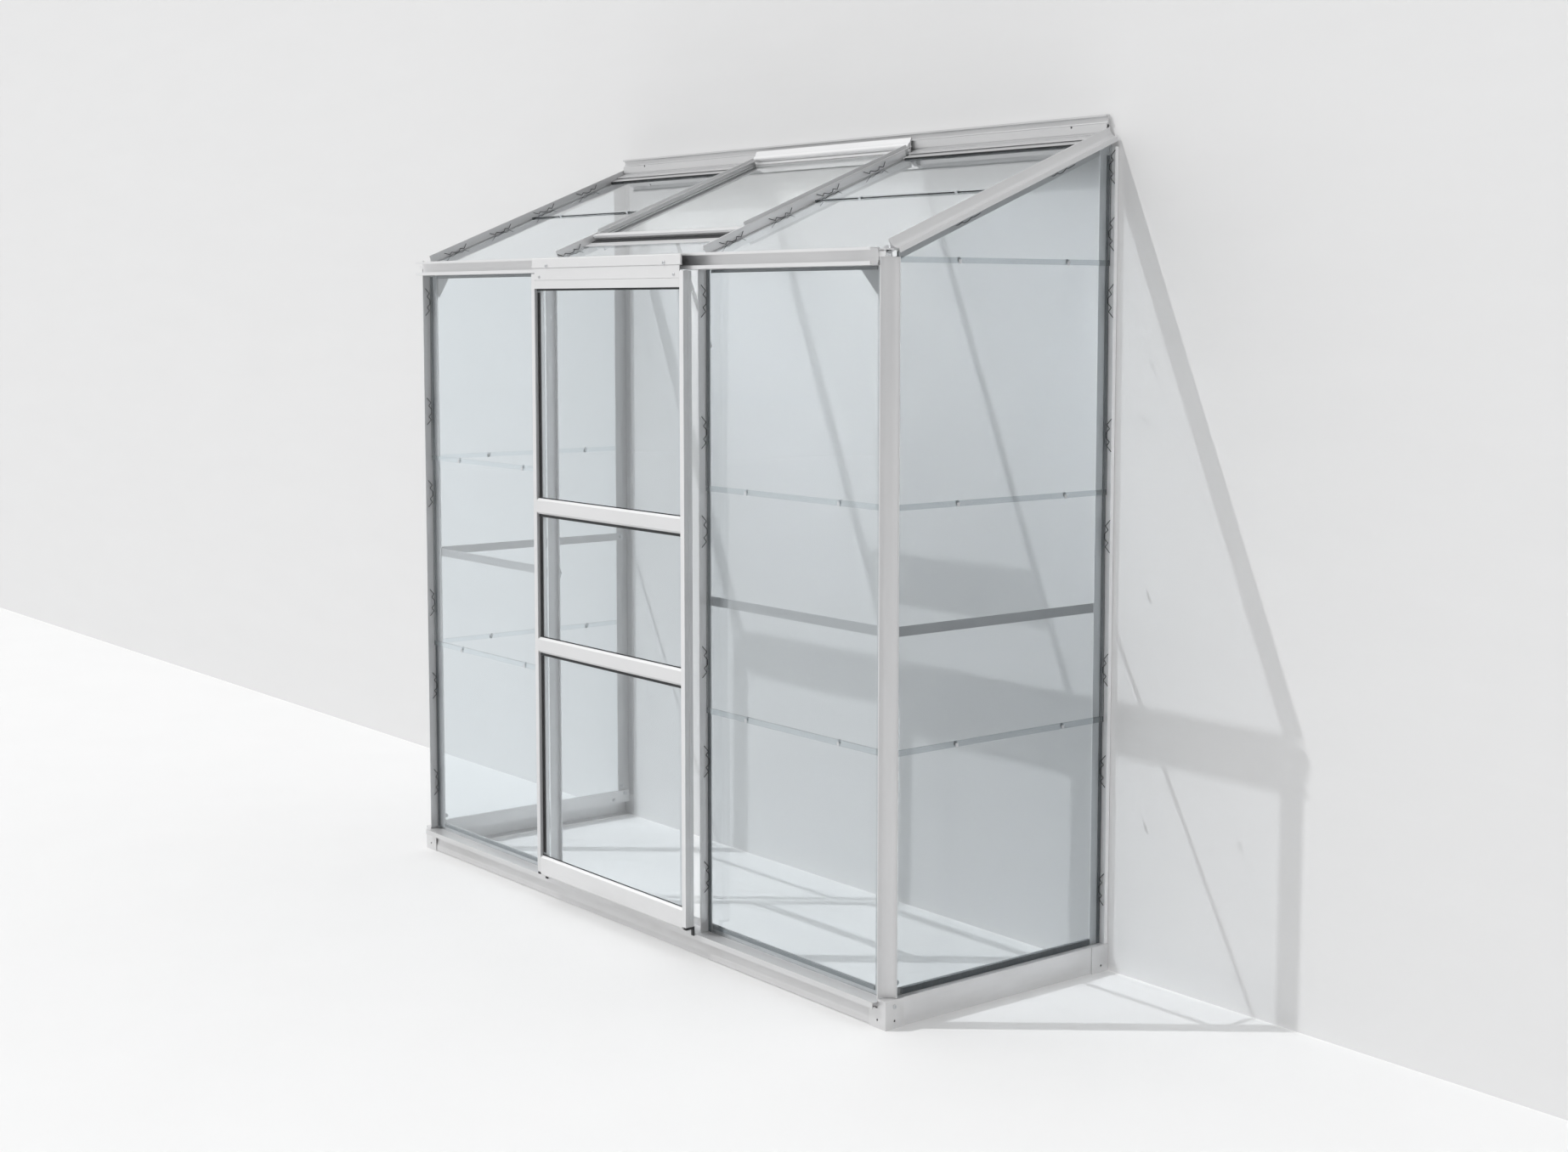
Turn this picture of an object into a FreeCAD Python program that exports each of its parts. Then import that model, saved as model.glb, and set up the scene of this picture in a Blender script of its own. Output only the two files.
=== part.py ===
import FreeCAD, Part
import Sketcher
import math
import os

# Lean-to greenhouse of aluminium bars and thin glass, with a sliding door and a roof vent.
# Part frame in millimetres: +X to the right seen from the front, the front faces -Y, the
# open back stands against the wall at +Y, +Z up, origin under the middle of the whole box.

os.makedirs("parts", exist_ok=True)
doc = FreeCAD.newDocument("lean_to_greenhouse")
sheet = doc.addObject("Spreadsheet::Sheet", "sizes")


class Size:
    """A length that keeps the spreadsheet formula it comes from."""

    def __init__(self, value, text):
        self.value = value
        self.text = text

    def join(self, other, sign, result):
        return Size(result, "(%s %s %s)" % (self.text, sign, other.text))

    def __add__(self, other):
        other = as_size(other)
        return self.join(other, "+", self.value + other.value)

    def __sub__(self, other):
        other = as_size(other)
        return self.join(other, "-", self.value - other.value)

    def __mul__(self, other):
        other = as_size(other)
        return self.join(other, "*", self.value * other.value)

    def __truediv__(self, other):
        other = as_size(other)
        return self.join(other, "/", self.value / other.value)

    def __radd__(self, other):
        return as_size(other) + self

    def __rsub__(self, other):
        return as_size(other) - self

    def __rmul__(self, other):
        return as_size(other) * self

    def __neg__(self):
        return as_size(0) - self


def as_size(number):
    """A plain number becomes a size without a formula."""
    if isinstance(number, Size):
        return number
    return Size(float(number), "%.4f" % number)


def driving(alias, value):
    """Put one driving dimension in the sheet and hand it back as a size."""
    driving.row += 1
    cell = "B%d" % driving.row
    sheet.set("A%d" % driving.row, alias)
    sheet.set(cell, str(value))
    sheet.setAlias(cell, alias)
    return Size(float(value), "sizes." + alias)


driving.row = 0

# The box of the house.
wide = driving("wide", 1920)
deep = driving("deep", 657)
front_reach = driving("front_reach", 45)
eaves_base = driving("eaves_base", 1560)
eaves_top = driving("eaves_top", 1596)
ridge_top = driving("ridge_top", 1891.5)
roof_zero = driving("roof_zero", 1604)
roof_rise = driving("roof_rise", 0.4)
roof_angle = driving("roof_angle", 21.8014)
base_top = driving("base_top", 61)
nosing_top = driving("nosing_top", 56.6)
foot_gap = driving("foot_gap", 2)

# Bars, glass, rubber and wire.
skin = driving("skin", 2.2)
glass = driving("glass", 3)
rubber = driving("rubber", 2)
front_pane = driving("front_pane", 21)
gable_pane = driving("gable_pane", 16)
fin_tall = driving("fin_tall", 20)
door_post_off = driving("door_post_off", 317)
rafter_off = driving("rafter_off", 305)
flange_half = driving("flange_half", 10)
corner_fin = driving("corner_fin", 27.4)
corner_flange = driving("corner_flange", 60)
lap = driving("lap", 12)
lap_shift = driving("lap_shift", 3.2)
first_joint = driving("first_joint", 563)
second_joint = driving("second_joint", 1067)
third_joint = driving("third_joint", 1566)
post_top = driving("post_top", 1557)
brace_low = driving("brace_low", 808)
brace_tall = driving("brace_tall", 21)
wire_thick = driving("wire_thick", 1.6)
clip_long = driving("clip_long", 72)

# Sliding door.
door_wide = driving("door_wide", 634.6)
door_front = driving("door_front", -41)
stile_wide = driving("stile_wide", 14.6)
stile_deep = driving("stile_deep", 22.5)
stile_rebate = driving("stile_rebate", 12.6)
stile_flange = driving("stile_flange", 22)
door_low = driving("door_low", 74.5)
door_high = driving("door_high", 1557)
head_low = driving("head_low", 1521)
head_high = driving("head_high", 1594)
door_pane = driving("door_pane", -33)
upper_rail_low = driving("upper_rail_low", 972)
lower_rail_low = driving("lower_rail_low", 628)
mid_rail_tall = driving("mid_rail_tall", 38.5)
foot_rail_low = driving("foot_rail_low", 67)
foot_rail_tall = driving("foot_rail_tall", 50)
roller_off = driving("roller_off", 245.5)
roller_mid = driving("roller_mid", 1575)
roller_big = driving("roller_big", 12.5)

# Roof vent and its stay.
vent_half = driving("vent_half", 300)
vent_start = driving("vent_start", 153)
vent_end = driving("vent_end", 677)
hinge_back = driving("hinge_back", 640)
hinge_high = driving("hinge_high", 1876)
stay_long = driving("stay_long", 290)

doc.recompute()

# Zero of the measured depths is the front face of the base, and of the widths a side face.
half = wide / 2
front = front_reach / 2 - deep / 2
LEFT = -1
RIGHT = 1


def seen_from(side, inward):
    """X of a point that lies a distance in from the left or right side face."""
    return side * (half - inward)


def back_from(depth):
    """Y of a point that lies a distance behind the front face of the base."""
    return front + depth


def origin_plane(body, role):
    for feature in body.Origin.OriginFeatures:
        if feature.Role == role:
            return feature
    raise RuntimeError("no plane " + role)


def tie(sketch, constraint, size):
    """Add a constraint and bind it to its formula when it has one."""
    index = sketch.addConstraint(constraint)
    if "sizes." in size.text:
        sketch.setExpression("Constraints[%d]" % index, size.text)


def bowed(start, end, bow):
    """Middle point of an arc that swells by bow to the left of its own direction."""
    along = end - start
    normal = FreeCAD.Vector(-along.y, along.x, 0)
    normal.normalize()
    return (start + end) * 0.5 + normal * bow


def draw_loop(sketch, corners):
    """Closed loop of lines and arcs. A corner is (a, b) or (a, b, bow of the edge after it)."""
    points = [(as_size(c[0]), as_size(c[1])) for c in corners]
    bows = [c[2] if len(c) > 2 else 0 for c in corners]
    vectors = [FreeCAD.Vector(a.value, b.value, 0) for a, b in points]
    ends = []
    for k, start in enumerate(vectors):
        end = vectors[(k + 1) % len(vectors)]
        if bows[k]:
            middle = bowed(start, end, bows[k])
            circle = Part.Circle(start, middle, end)
            circle = Part.Circle(circle.Center, FreeCAD.Vector(0, 0, 1), circle.Radius)
            rightward = (middle - start).cross(end - middle).z < 0
            low, high = (end, start) if rightward else (start, end)
            angles = [math.atan2(v.y - circle.Center.y, v.x - circle.Center.x) for v in (low, high)]
            index = sketch.addGeometry(Part.ArcOfCircle(circle, angles[0], angles[1]), False)
            sketch.addConstraint(Sketcher.Constraint("Radius", index, circle.Radius))
            ends.append((index, 2, 1) if rightward else (index, 1, 2))
        else:
            index = sketch.addGeometry(Part.LineSegment(start, end), False)
            ends.append((index, 1, 2))
    for k, (index, first, last) in enumerate(ends):
        after = ends[(k + 1) % len(ends)]
        sketch.addConstraint(Sketcher.Constraint("Coincident", index, last, after[0], after[1]))
        across, up = points[k]
        tie(sketch, Sketcher.Constraint("DistanceX", -1, 1, index, first, across.value), across)
        tie(sketch, Sketcher.Constraint("DistanceY", -1, 1, index, first, up.value), up)


def new_sketch(body, name, role):
    sketch = body.newObject("Sketcher::SketchObject", name)
    sketch.AttachmentSupport = (origin_plane(body, role), [""])
    sketch.MapMode = "FlatFace"
    return sketch


def bind(thing, name, size):
    size = as_size(size)
    if "sizes." in size.text:
        thing.setExpression(name, size.text)
    else:
        thing.setExpression(name, size.text + " * 1")


def move_to(thing, x=0, y=0, z=0):
    """Bind the place of an object to sizes."""
    for name, size in (("x", x), ("y", y), ("z", z)):
        bind(thing, "Placement.Base." + name, size)


def tip_up(thing):
    """Lean an object back by the roof's slope about its own X axis."""
    turn = FreeCAD.Rotation(FreeCAD.Vector(1, 0, 0), roof_angle.value)
    thing.Placement = FreeCAD.Placement(FreeCAD.Vector(0, 0, 0), turn)
    thing.setExpression("Placement.Rotation.Angle", "sizes.roof_angle * 1 deg")


def bar(label, role, loops, long, x=0, y=0, z=0, sloped=False):
    """A straight extruded bar from the closed loops of its cross section."""
    body = doc.addObject("PartDesign::Body", label)
    body.Label = label
    sketch = new_sketch(body, label + "_section", role)
    for corners in loops:
        draw_loop(sketch, corners)
    doc.recompute()
    pad = body.newObject("PartDesign::Pad", label + "_run")
    pad.Profile = sketch
    bind(pad, "Length", long)
    if role == "XZ_Plane":
        pad.Reversed = True
    if sloped:
        tip_up(body)
    move_to(body, x, y, z)
    return body


def along_x(label, loops, start, long, sloped=False):
    """Bar across the width. Its section is drawn in depth and height."""
    if sloped:
        return bar(label, "YZ_Plane", loops, long, x=start, y=front, z=roof_zero, sloped=True)
    return bar(label, "YZ_Plane", loops, long, x=start, y=front)


def upright(label, loops, start, long):
    """Upright bar. Its section is drawn in width and depth."""
    return bar(label, "XY_Plane", loops, long, y=front, z=start)


def along_y(label, loops, start, long):
    """Bar from front to back. Its section is drawn in width and height."""
    return bar(label, "XZ_Plane", loops, long, y=front + start)


def up_slope(label, loops, start, long):
    """Bar that climbs the roof. Its section is drawn in width and height over the slope."""
    body = bar(label, "XZ_Plane", loops, long, sloped=True)
    move_to(body, 0, front + start * math.cos(math.radians(roof_angle.value)),
            roof_zero + start * math.sin(math.radians(roof_angle.value)))
    return body


def mirrored(side, corners):
    """Corners given inward from a side face, set on the left or the right side."""
    placed = []
    for corner in corners:
        bow = -side * corner[2] if len(corner) > 2 else 0
        placed.append((seen_from(side, as_size(corner[0])), corner[1], bow))
    return placed


def rectangle(a_low, b_low, a_high, b_high):
    return [(a_low, b_low), (a_high, b_low), (a_high, b_high), (a_low, b_high)]


def block(name, long, wide_y, tall, x, y, z, sloped=False):
    """Plain box in the part frame, or in the frame of the roof slope."""
    box = doc.addObject("Part::Box", name)
    bind(box, "Length", long)
    bind(box, "Width", wide_y)
    bind(box, "Height", tall)
    if sloped:
        tip_up(box)
        turn = FreeCAD.Rotation(FreeCAD.Vector(1, 0, 0), roof_angle.value)
        shift = turn.multVec(FreeCAD.Vector(0, as_size(y).value, as_size(z).value))
        move_to(box, x, front + shift.y, roof_zero + shift.z)
    else:
        move_to(box, x, front + y, z)
    return box


def rod(name, big, long, x, y, z, axis):
    """Round bar of radius big that starts at a point and runs along an axis."""
    cylinder = doc.addObject("Part::Cylinder", name)
    bind(cylinder, "Radius", big)
    bind(cylinder, "Height", long)
    turn = FreeCAD.Rotation(FreeCAD.Vector(0, 0, 1), axis)
    cylinder.Placement = FreeCAD.Placement(FreeCAD.Vector(0, 0, 0), turn)
    move_to(cylinder, x, front + y, z)
    return cylinder


def cut_away(label, base, tools):
    """What is left of one object after a list of tools is taken out."""
    base.Label = label + "_uncut"
    last = base
    for k, tool in enumerate(tools):
        cut = doc.addObject("Part::Cut", "%s_cut_%d" % (label, k))
        cut.Base = last
        cut.Tool = tool
        last = cut
    last.Label = label
    return last


def group(label, shapes):
    """Separate solids of one kind kept together as one sub-part."""
    feature = doc.addObject("Part::Feature", label)
    feature.Label = label
    feature.Shape = Part.makeCompound(shapes)
    return feature


nodes = []


def keep(*things):
    """Remember finished sub-parts for the check and the files."""
    nodes.extend(things)
    return things[0]


def base_rails():
    """Front rail with a hooked nosing and two plain side rails, each with an upstand inside."""
    nose = nosing_top - skin
    front_section = [
        (32.2, base_top + 14), (30, base_top + 14), (30, nosing_top), (-15, nosing_top),
        (-15, nose - 10.4), (-6, nose - 10.4), (-6, nose - 8.2), (-12.8, nose - 8.2),
        (-12.8, nose), (4, nose), (4, 46, 2), (2, 15), (2, foot_gap), (36, foot_gap),
        (36, foot_gap + skin), (4.2, foot_gap + skin), (4.2, 15.5, -2), (6.2, 46), (6.2, nose),
        (32.2, nose)]
    keep(along_x("base_rail_front", [front_section], 25 - half, wide - 50))
    side_section = [
        (1.8, foot_gap), (1.8, base_top), (25, base_top), (25, base_top + 14),
        (27.2, base_top + 14), (27.2, 40), (25, 40), (25, base_top - skin), (4, base_top - skin),
        (4, foot_gap + skin), (36, foot_gap + skin), (36, foot_gap)]
    for side, name in ((LEFT, "base_rail_left"), (RIGHT, "base_rail_right")):
        keep(along_y(name, [mirrored(side, side_section)], 37, deep - 40.2))


def at(side, inward, depth, high):
    """Plain vector for hardware: inward from a side face, behind the base front, and up."""
    return FreeCAD.Vector(seen_from(side, as_size(inward)).value, back_from(depth).value, high)


def slab(side, in_low, in_high, depth_low, depth_high, z_low, z_high):
    """Plain plate between two distances from a side face, two depths and two heights."""
    first = at(side, in_low, depth_low, z_low)
    last = at(side, in_high, depth_high, z_high)
    corner = FreeCAD.Vector(min(first.x, last.x), first.y, z_low)
    return Part.makeBox(abs(last.x - first.x), depth_high - depth_low, z_high - z_low, corner)


def base_corners():
    """Four folded corner plates that stand on the ground and carry the rails."""
    shapes = []
    for side in (LEFT, RIGHT):
        corner = slab(side, 0, 24.6, 0, 1.6, 0, 60.8).fuse(
            [slab(side, 0, 52, 0, 1.6, 0, 41), slab(side, 0, 1.6, 0, 50, 0, 60.8),
             slab(side, 1.6, 24.6, 1.6, 35, 59.2, 60.8), slab(side, 1.6, 34, 1.6, 36, 0, 1.4)])
        corner = corner.removeSplitter()
        edges = [e for e in corner.Edges if e.Length > 50 and (e.CenterOfMass - at(side, 0, 0, e.CenterOfMass.z)).Length < 0.1]
        corner = corner.makeFillet(1.2, edges)
        drills = [Part.makeCylinder(2.6, 8, at(side, 26, -4, 17), FreeCAD.Vector(0, 1, 0)),
                  Part.makeCylinder(2.6, 8, at(side, -4, 25, 16), FreeCAD.Vector(-side, 0, 0)),
                  Part.makeCylinder(2.6, 8, at(side, -4, 25, 46), FreeCAD.Vector(-side, 0, 0))]
        shapes.append(corner.cut(drills))
        rear = slab(side, 0, 1.6, 606, 656.8, 0, 60.8).fuse(
            [slab(side, 0, 46, 656.8, 657, 0, 60.8), slab(side, 1.6, 36, 640, 656.8, 0, 1.4)])
        rear = rear.removeSplitter()
        drills = [Part.makeCylinder(2.6, 8, at(side, -4, 635, 15), FreeCAD.Vector(-side, 0, 0))]
        shapes.append(rear.cut(drills))
    return group("base_corners", shapes)


def corner_posts():
    """Corner bars: a hollow cove between two fins, and a flange behind each pane."""
    behind_front = front_pane + glass + rubber
    behind_gable = gable_pane + glass + rubber
    section = [
        (corner_fin, 0), (corner_fin - 2.4, 0), (corner_fin - 2.4, 6, -6.5), (4.5, 31), (2.5, 31),
        (2.5, 33.4), (behind_gable, 33.4), (behind_gable, 39), (behind_gable + skin, 39),
        (behind_gable + skin, behind_front + skin),
        (corner_flange, behind_front + skin), (corner_flange, behind_front),
        (corner_fin, behind_front)]
    for side, name in ((LEFT, "corner_post_left"), (RIGHT, "corner_post_right")):
        post = upright(name, [mirrored(side, section)], base_top + 0.2, 1576.5 - base_top)
        under_eaves = block(name + "_top_cut", 34, 60, 40, seen_from(side, as_size(46.5)) - 17, -10,
                            post_top)
        keep(cut_away(name, post, [under_eaves]))


def door_posts():
    """Tee bars beside the doorway."""
    behind = front_pane + glass + rubber
    for side, name in ((LEFT, "door_post_left"), (RIGHT, "door_post_right")):
        mid = side * door_post_off
        section = [
            (mid - 1.5, 0), (mid + 1.5, 0), (mid + 1.5, 2), (mid + 1.1, 2.6), (mid + 1.1, behind),
            (mid + flange_half, behind), (mid + flange_half, behind + skin),
            (mid - flange_half, behind + skin), (mid - flange_half, behind),
            (mid - 1.1, behind), (mid - 1.1, 2.6), (mid - 1.5, 2)]
        keep(upright(name, [section], nosing_top + 0.2, eaves_base - nosing_top - 0.4))


def wall_posts():
    """Rear bars with a wall flange that is screwed to the house wall."""
    behind = gable_pane + glass + rubber
    section = [
        (2.2, 646.8), (2.2, 656.6), (4.4, 656.6), (4.4, 649), (behind, 649), (behind, 656.6),
        (45, 656.6), (45, 654.4), (behind + skin, 654.4), (behind + skin, 618), (behind, 618),
        (behind, 646.8)]
    for side, name in ((LEFT, "wall_post_left"), (RIGHT, "wall_post_right")):
        post = upright(name, [mirrored(side, section)], base_top + 0.2, 1760.3)
        holes = [rod("%s_hole_%d" % (name, k), 2.6, 8, seen_from(side, as_size(37)), 650, high,
                     FreeCAD.Vector(0, 1, 0)) for k, high in enumerate((400, 1200))]
        keep(cut_away(name, post, holes))


def eaves():
    """Eaves bar: door track in front, rain channel behind, seat for the roof glass."""
    top = eaves_top
    low = eaves_base
    outer = [
        (-23, top), (-23, top - 6), (-20.8, top - 6), (-20.8, top - skin),
        (-3, top - skin, 3), (-3, low + skin), (-20.8, low + skin), (-20.8, low + 8),
        (-23, low + 8), (-23, low), (36, low), (36, 1587.4), (33.8, 1587.4), (33.8, low + 10.2),
        (2.2, low + 10.2), (2.2, top)]
    cell = rectangle(4.4, low + skin, 33.8, low + 8)
    keep(along_x("eaves_beam", [outer, cell], 31 - half, wide - 62))


def ridge():
    """Wall bar above the roof: lip, cove, screw band and a stepped flange over the glass."""
    top = ridge_top
    outer = [
        (644, top), (656.6, top), (656.6, top - 67), (654.4, top - 67), (654.4, 1846.3),
        (606, 1826.9), (606, 1829.4), (630, 1839), (630, 1841.4), (624, 1839), (624, 1841.2),
        (648, 1850.8), (648, top - 37), (646, top - 37),
        (646, top - 19), (650, top - 17, -1.5), (650, top - 4), (644, top - 4)]
    cell = rectangle(648.4, top - 35, 654.2, top - 21)
    beam = along_x("ridge_bar", [outer, cell], 29 - half, wide - 58)
    holes = [rod("ridge_hole_%d" % k, 2.6, 30, x, 635, ridge_top - 21.5, FreeCAD.Vector(0, 1, 0))
             for k, x in enumerate((-826, 826))]
    under_vent = block("ridge_vent_cut", 624, 43, 38, -312, 600, 1815)
    keep(cut_away("ridge_bar", beam, holes + [under_vent]))


def gable_rafters():
    """Sloping corner bars: cove on the outside, lip over the gable glass, two flanges."""
    deep_flange = fin_tall + glass + rubber
    behind = gable_pane + glass + rubber
    section = [
        (corner_fin, 0), (corner_fin - 2.4, 0), (corner_fin - 2.4, -3, 5), (6, -19.5),
        (2.2, -19.5), (2.2, -29.7), (4.4, -29.7), (4.4, -22), (behind, -deep_flange),
        (behind, -46), (behind + skin, -46), (behind + skin, -deep_flange - skin),
        (50, -deep_flange - skin), (50, -deep_flange), (corner_fin, -deep_flange)]
    for side, name in ((LEFT, "gable_rafter_left"), (RIGHT, "gable_rafter_right")):
        bar_body = up_slope(name, [mirrored(side, section)], 23.2, 697)
        wide_cut = 120
        tools = [
            block(name + "_foot_cut", 8, 60, 60, seen_from(side, behind + 1.1) - 4, -18.5, 1530),
            block(name + "_top_cut", wide_cut, 120, 200, seen_from(side, as_size(30)) - 60,
                  653.5, 1750),
            block(name + "_post_cut", 8, 120, 200, seen_from(side, behind + 1.1) - 4,
                  616.5, 1622)]
        keep(cut_away(name, bar_body, tools))


def roof_rafters():
    """Tee bars between the roof bays. The fin stops short of the ridge bar."""
    under = fin_tall + glass + rubber
    for side, name in ((LEFT, "roof_rafter_left"), (RIGHT, "roof_rafter_right")):
        mid = side * rafter_off
        section = [
            (mid - 1.5, 0), (mid + 1.5, 0), (mid + 1.5, -2), (mid + 1.1, -2.6), (mid + 1.1, -under),
            (mid + flange_half, -under), (mid + flange_half, -under - skin),
            (mid - flange_half, -under - skin), (mid - flange_half, -under),
            (mid - 1.1, -under), (mid - 1.1, -2.6), (mid - 1.5, -2)]
        body = up_slope(name, [section], 24, 666)
        fin_cut = block(name + "_fin_cut", 4, 60, 24, mid - 2, 664, -24.8, sloped=True)
        keep(cut_away(name, body, [fin_cut]))


def braces():
    """Flat strips at half height: one inside each gable and each front bay."""
    behind_gable = (gable_pane + glass + rubber + skin + 0.2).value
    behind_front = (front_pane + glass + rubber + skin + 0.2).value
    low = brace_low.value
    high = low + brace_tall.value
    gables = [slab(side, behind_gable, behind_gable + 1.6, 40, 640, low, high) for side in (LEFT, RIGHT)]
    fronts = [slab(side, 40, 960 - 306, behind_front, behind_front + 1.6, low, high) for side in (LEFT, RIGHT)]
    keep(group("gable_braces", gables), group("front_braces", fronts))


def gussets():
    """Triangular plates behind the glass where the corner posts meet the eaves."""
    depth = (front_pane + glass + rubber + skin + 0.2).value
    outline = ((36, 1503), (67, 1503), (123, 1559), (36, 1559))
    plates = []
    for side in (LEFT, RIGHT):
        points = [at(side, inward, depth, high) for inward, high in outline]
        face = Part.Face(Part.makePolygon(points + points[:1]))
        plates.append(face.extrude(FreeCAD.Vector(0, 1.6, 0)))
    keep(group("eaves_gussets", plates))


def eaves_joints():
    """Folded plates that join the eaves bar to the corner post and the gable rafter."""
    shapes = []
    for side in (LEFT, RIGHT):
        top = slab(side, 7, 30.2, 0, 20, 1590.8, 1593)
        points = [at(side, inward, 0, high) for inward, high in
                  ((9, 1587.6), (30.2, 1587.6), (30.2, 1577.6), (12, 1577.6))]
        tab = Part.Face(Part.makePolygon(points + points[:1])).extrude(FreeCAD.Vector(0, 1.6, 0))
        web = slab(side, 28.6, 30.2, 0, 12, 1577.6, 1593)
        foot = slab(side, 9, 30.2, 0, 14, 1576.8, 1578.4)
        shapes.append(top.fuse([tab, web, foot]).removeSplitter())
    keep(group("eaves_joints", shapes))


def pane(name, long, tall, x, depth, low, turn_axis, lean):
    """One thin sheet in its own frame: long along X, tall along Z, outer face at Y zero."""
    sheet_box = doc.addObject("Part::Box", name)
    bind(sheet_box, "Length", long)
    bind(sheet_box, "Width", glass)
    bind(sheet_box, "Height", tall)
    turn = FreeCAD.Rotation(turn_axis, lean)
    sheet_box.Placement = FreeCAD.Placement(FreeCAD.Vector(0, 0, 0), turn)
    move_to(sheet_box, x, depth, low)
    return sheet_box


def lean_angle(tall):
    """A pane leans out by the lap shift at its foot and is flush at its head."""
    return math.degrees(math.asin(lap_shift.value / tall))


def stack(name, boxes):
    """Panes of one wall kept in one node as separate solids."""
    pile = doc.addObject("Part::Compound", name)
    pile.Links = boxes
    pile.Label = name
    return pile


def leaning_panes(name, width, x, depth, levels, top):
    """Panes one above the other. Each foot laps over the head of the pane below."""
    boxes = []
    lows = [levels[0]] + [as_size(level) for level in levels[1:]]
    for k, low in enumerate(lows):
        high = lows[k + 1] + lap if k + 1 < len(lows) else top
        tall = high - low
        lean = lean_angle(tall.value) if k else 0
        out = lap_shift if k else as_size(0)
        boxes.append(pane("%s_%d" % (name, k), width, tall, x, front + depth - out, low,
                          FreeCAD.Vector(-1, 0, 0), lean))
    return boxes


def front_glazing():
    """Three lapped panes on each side of the doorway."""
    gap = corner_fin + 1
    width = half - door_post_off - gap - 2
    levels = (nosing_top + 0.9, first_joint, second_joint)
    for side, name in ((LEFT, "front_glass_left"), (RIGHT, "front_glass_right")):
        start = gap - half if side == LEFT else door_post_off + 2
        keep(stack(name, leaning_panes(name, width, start, front_pane, levels,
                                       as_size(eaves_base - 2))))


def gable_glazing():
    """Three lapped panes and a sloping top piece in each gable."""
    first = 34.4
    long = as_size(645.8 - first)
    for side, name in ((LEFT, "gable_glass_left"), (RIGHT, "gable_glass_right")):
        boxes = []
        lows = [base_top + 0.6, first_joint, second_joint]
        highs = [first_joint + lap, second_joint + lap, third_joint + lap]
        for k, (low, high) in enumerate(zip(lows, highs)):
            tall = high - low
            box = doc.addObject("Part::Box", "%s_%d" % (name, k))
            bind(box, "Length", glass)
            bind(box, "Width", long)
            bind(box, "Height", tall)
            lean = lean_angle(tall.value) if k else 0
            out = lap_shift if k else as_size(0)
            box.Placement = FreeCAD.Placement(FreeCAD.Vector(0, 0, 0), FreeCAD.Rotation(
                FreeCAD.Vector(0, 1, 0), -side * lean))
            outer = seen_from(side, gable_pane - out)
            move_to(box, outer if side == LEFT else outer - glass, front + first, low)
            boxes.append(box)
        outline = [(35.5, third_joint), (645.8, third_joint), (645.8, 1829), (35.5, 1587)]
        start = seen_from(side, gable_pane - lap_shift - 0.2)
        top = along_x(name + "_top", [outline], start if side == LEFT else start - glass, glass)
        boxes.append(top)
        keep(stack(name, boxes))


def roof_glazing():
    """Two lapped panes in each side bay and a short fixed pane under the vent."""
    width = half - rafter_off - corner_fin - 3
    turn = FreeCAD.Rotation(FreeCAD.Vector(1, 0, 0), roof_angle.value)
    for side, name in ((LEFT, "roof_glass_left"), (RIGHT, "roof_glass_right")):
        start = corner_fin + 1 - half if side == LEFT else rafter_off + 2
        lower = block(name + "_0", width, 366.6, glass, start, 6, -fin_tall - glass, sloped=True)
        upper = block(name + "_1", width, 330.4, glass, start, 360.6,
                      -fin_tall - glass + lap_shift, sloped=True)
        tilt = FreeCAD.Rotation(FreeCAD.Vector(1, 0, 0), -lean_angle(330.4))
        upper.setExpression("Placement.Rotation.Angle", None)
        upper.Placement = FreeCAD.Placement(upper.Placement.Base, turn.multiply(tilt))
        keep(stack(name, [lower, upper]))
    fixed = block("roof_glass_lower", rafter_off * 2 - 4, 112, glass, 2 - rafter_off, 6,
                  -fin_tall - glass, sloped=True)
    fixed.Label = "roof_glass_lower"
    keep(fixed)


def slope_vector(x, s, b):
    """Point given in width, distance up the slope and height over the slope."""
    angle = math.radians(roof_angle.value)
    return FreeCAD.Vector(x, front.value + s * math.cos(angle) - b * math.sin(angle),
                          roof_zero.value + s * math.sin(angle) + b * math.cos(angle))


def slope_box(x_low, x_high, s_low, s_high, b_low, b_high):
    """Plate in the roof slope for grouped pieces."""
    box = Part.makeBox(x_high - x_low, s_high - s_low, b_high - b_low, FreeCAD.Vector(x_low, s_low, b_low))
    box.rotate(FreeCAD.Vector(0, 0, 0), FreeCAD.Vector(1, 0, 0), roof_angle.value)
    box.translate(FreeCAD.Vector(0, front.value, roof_zero.value))
    return box


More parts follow.
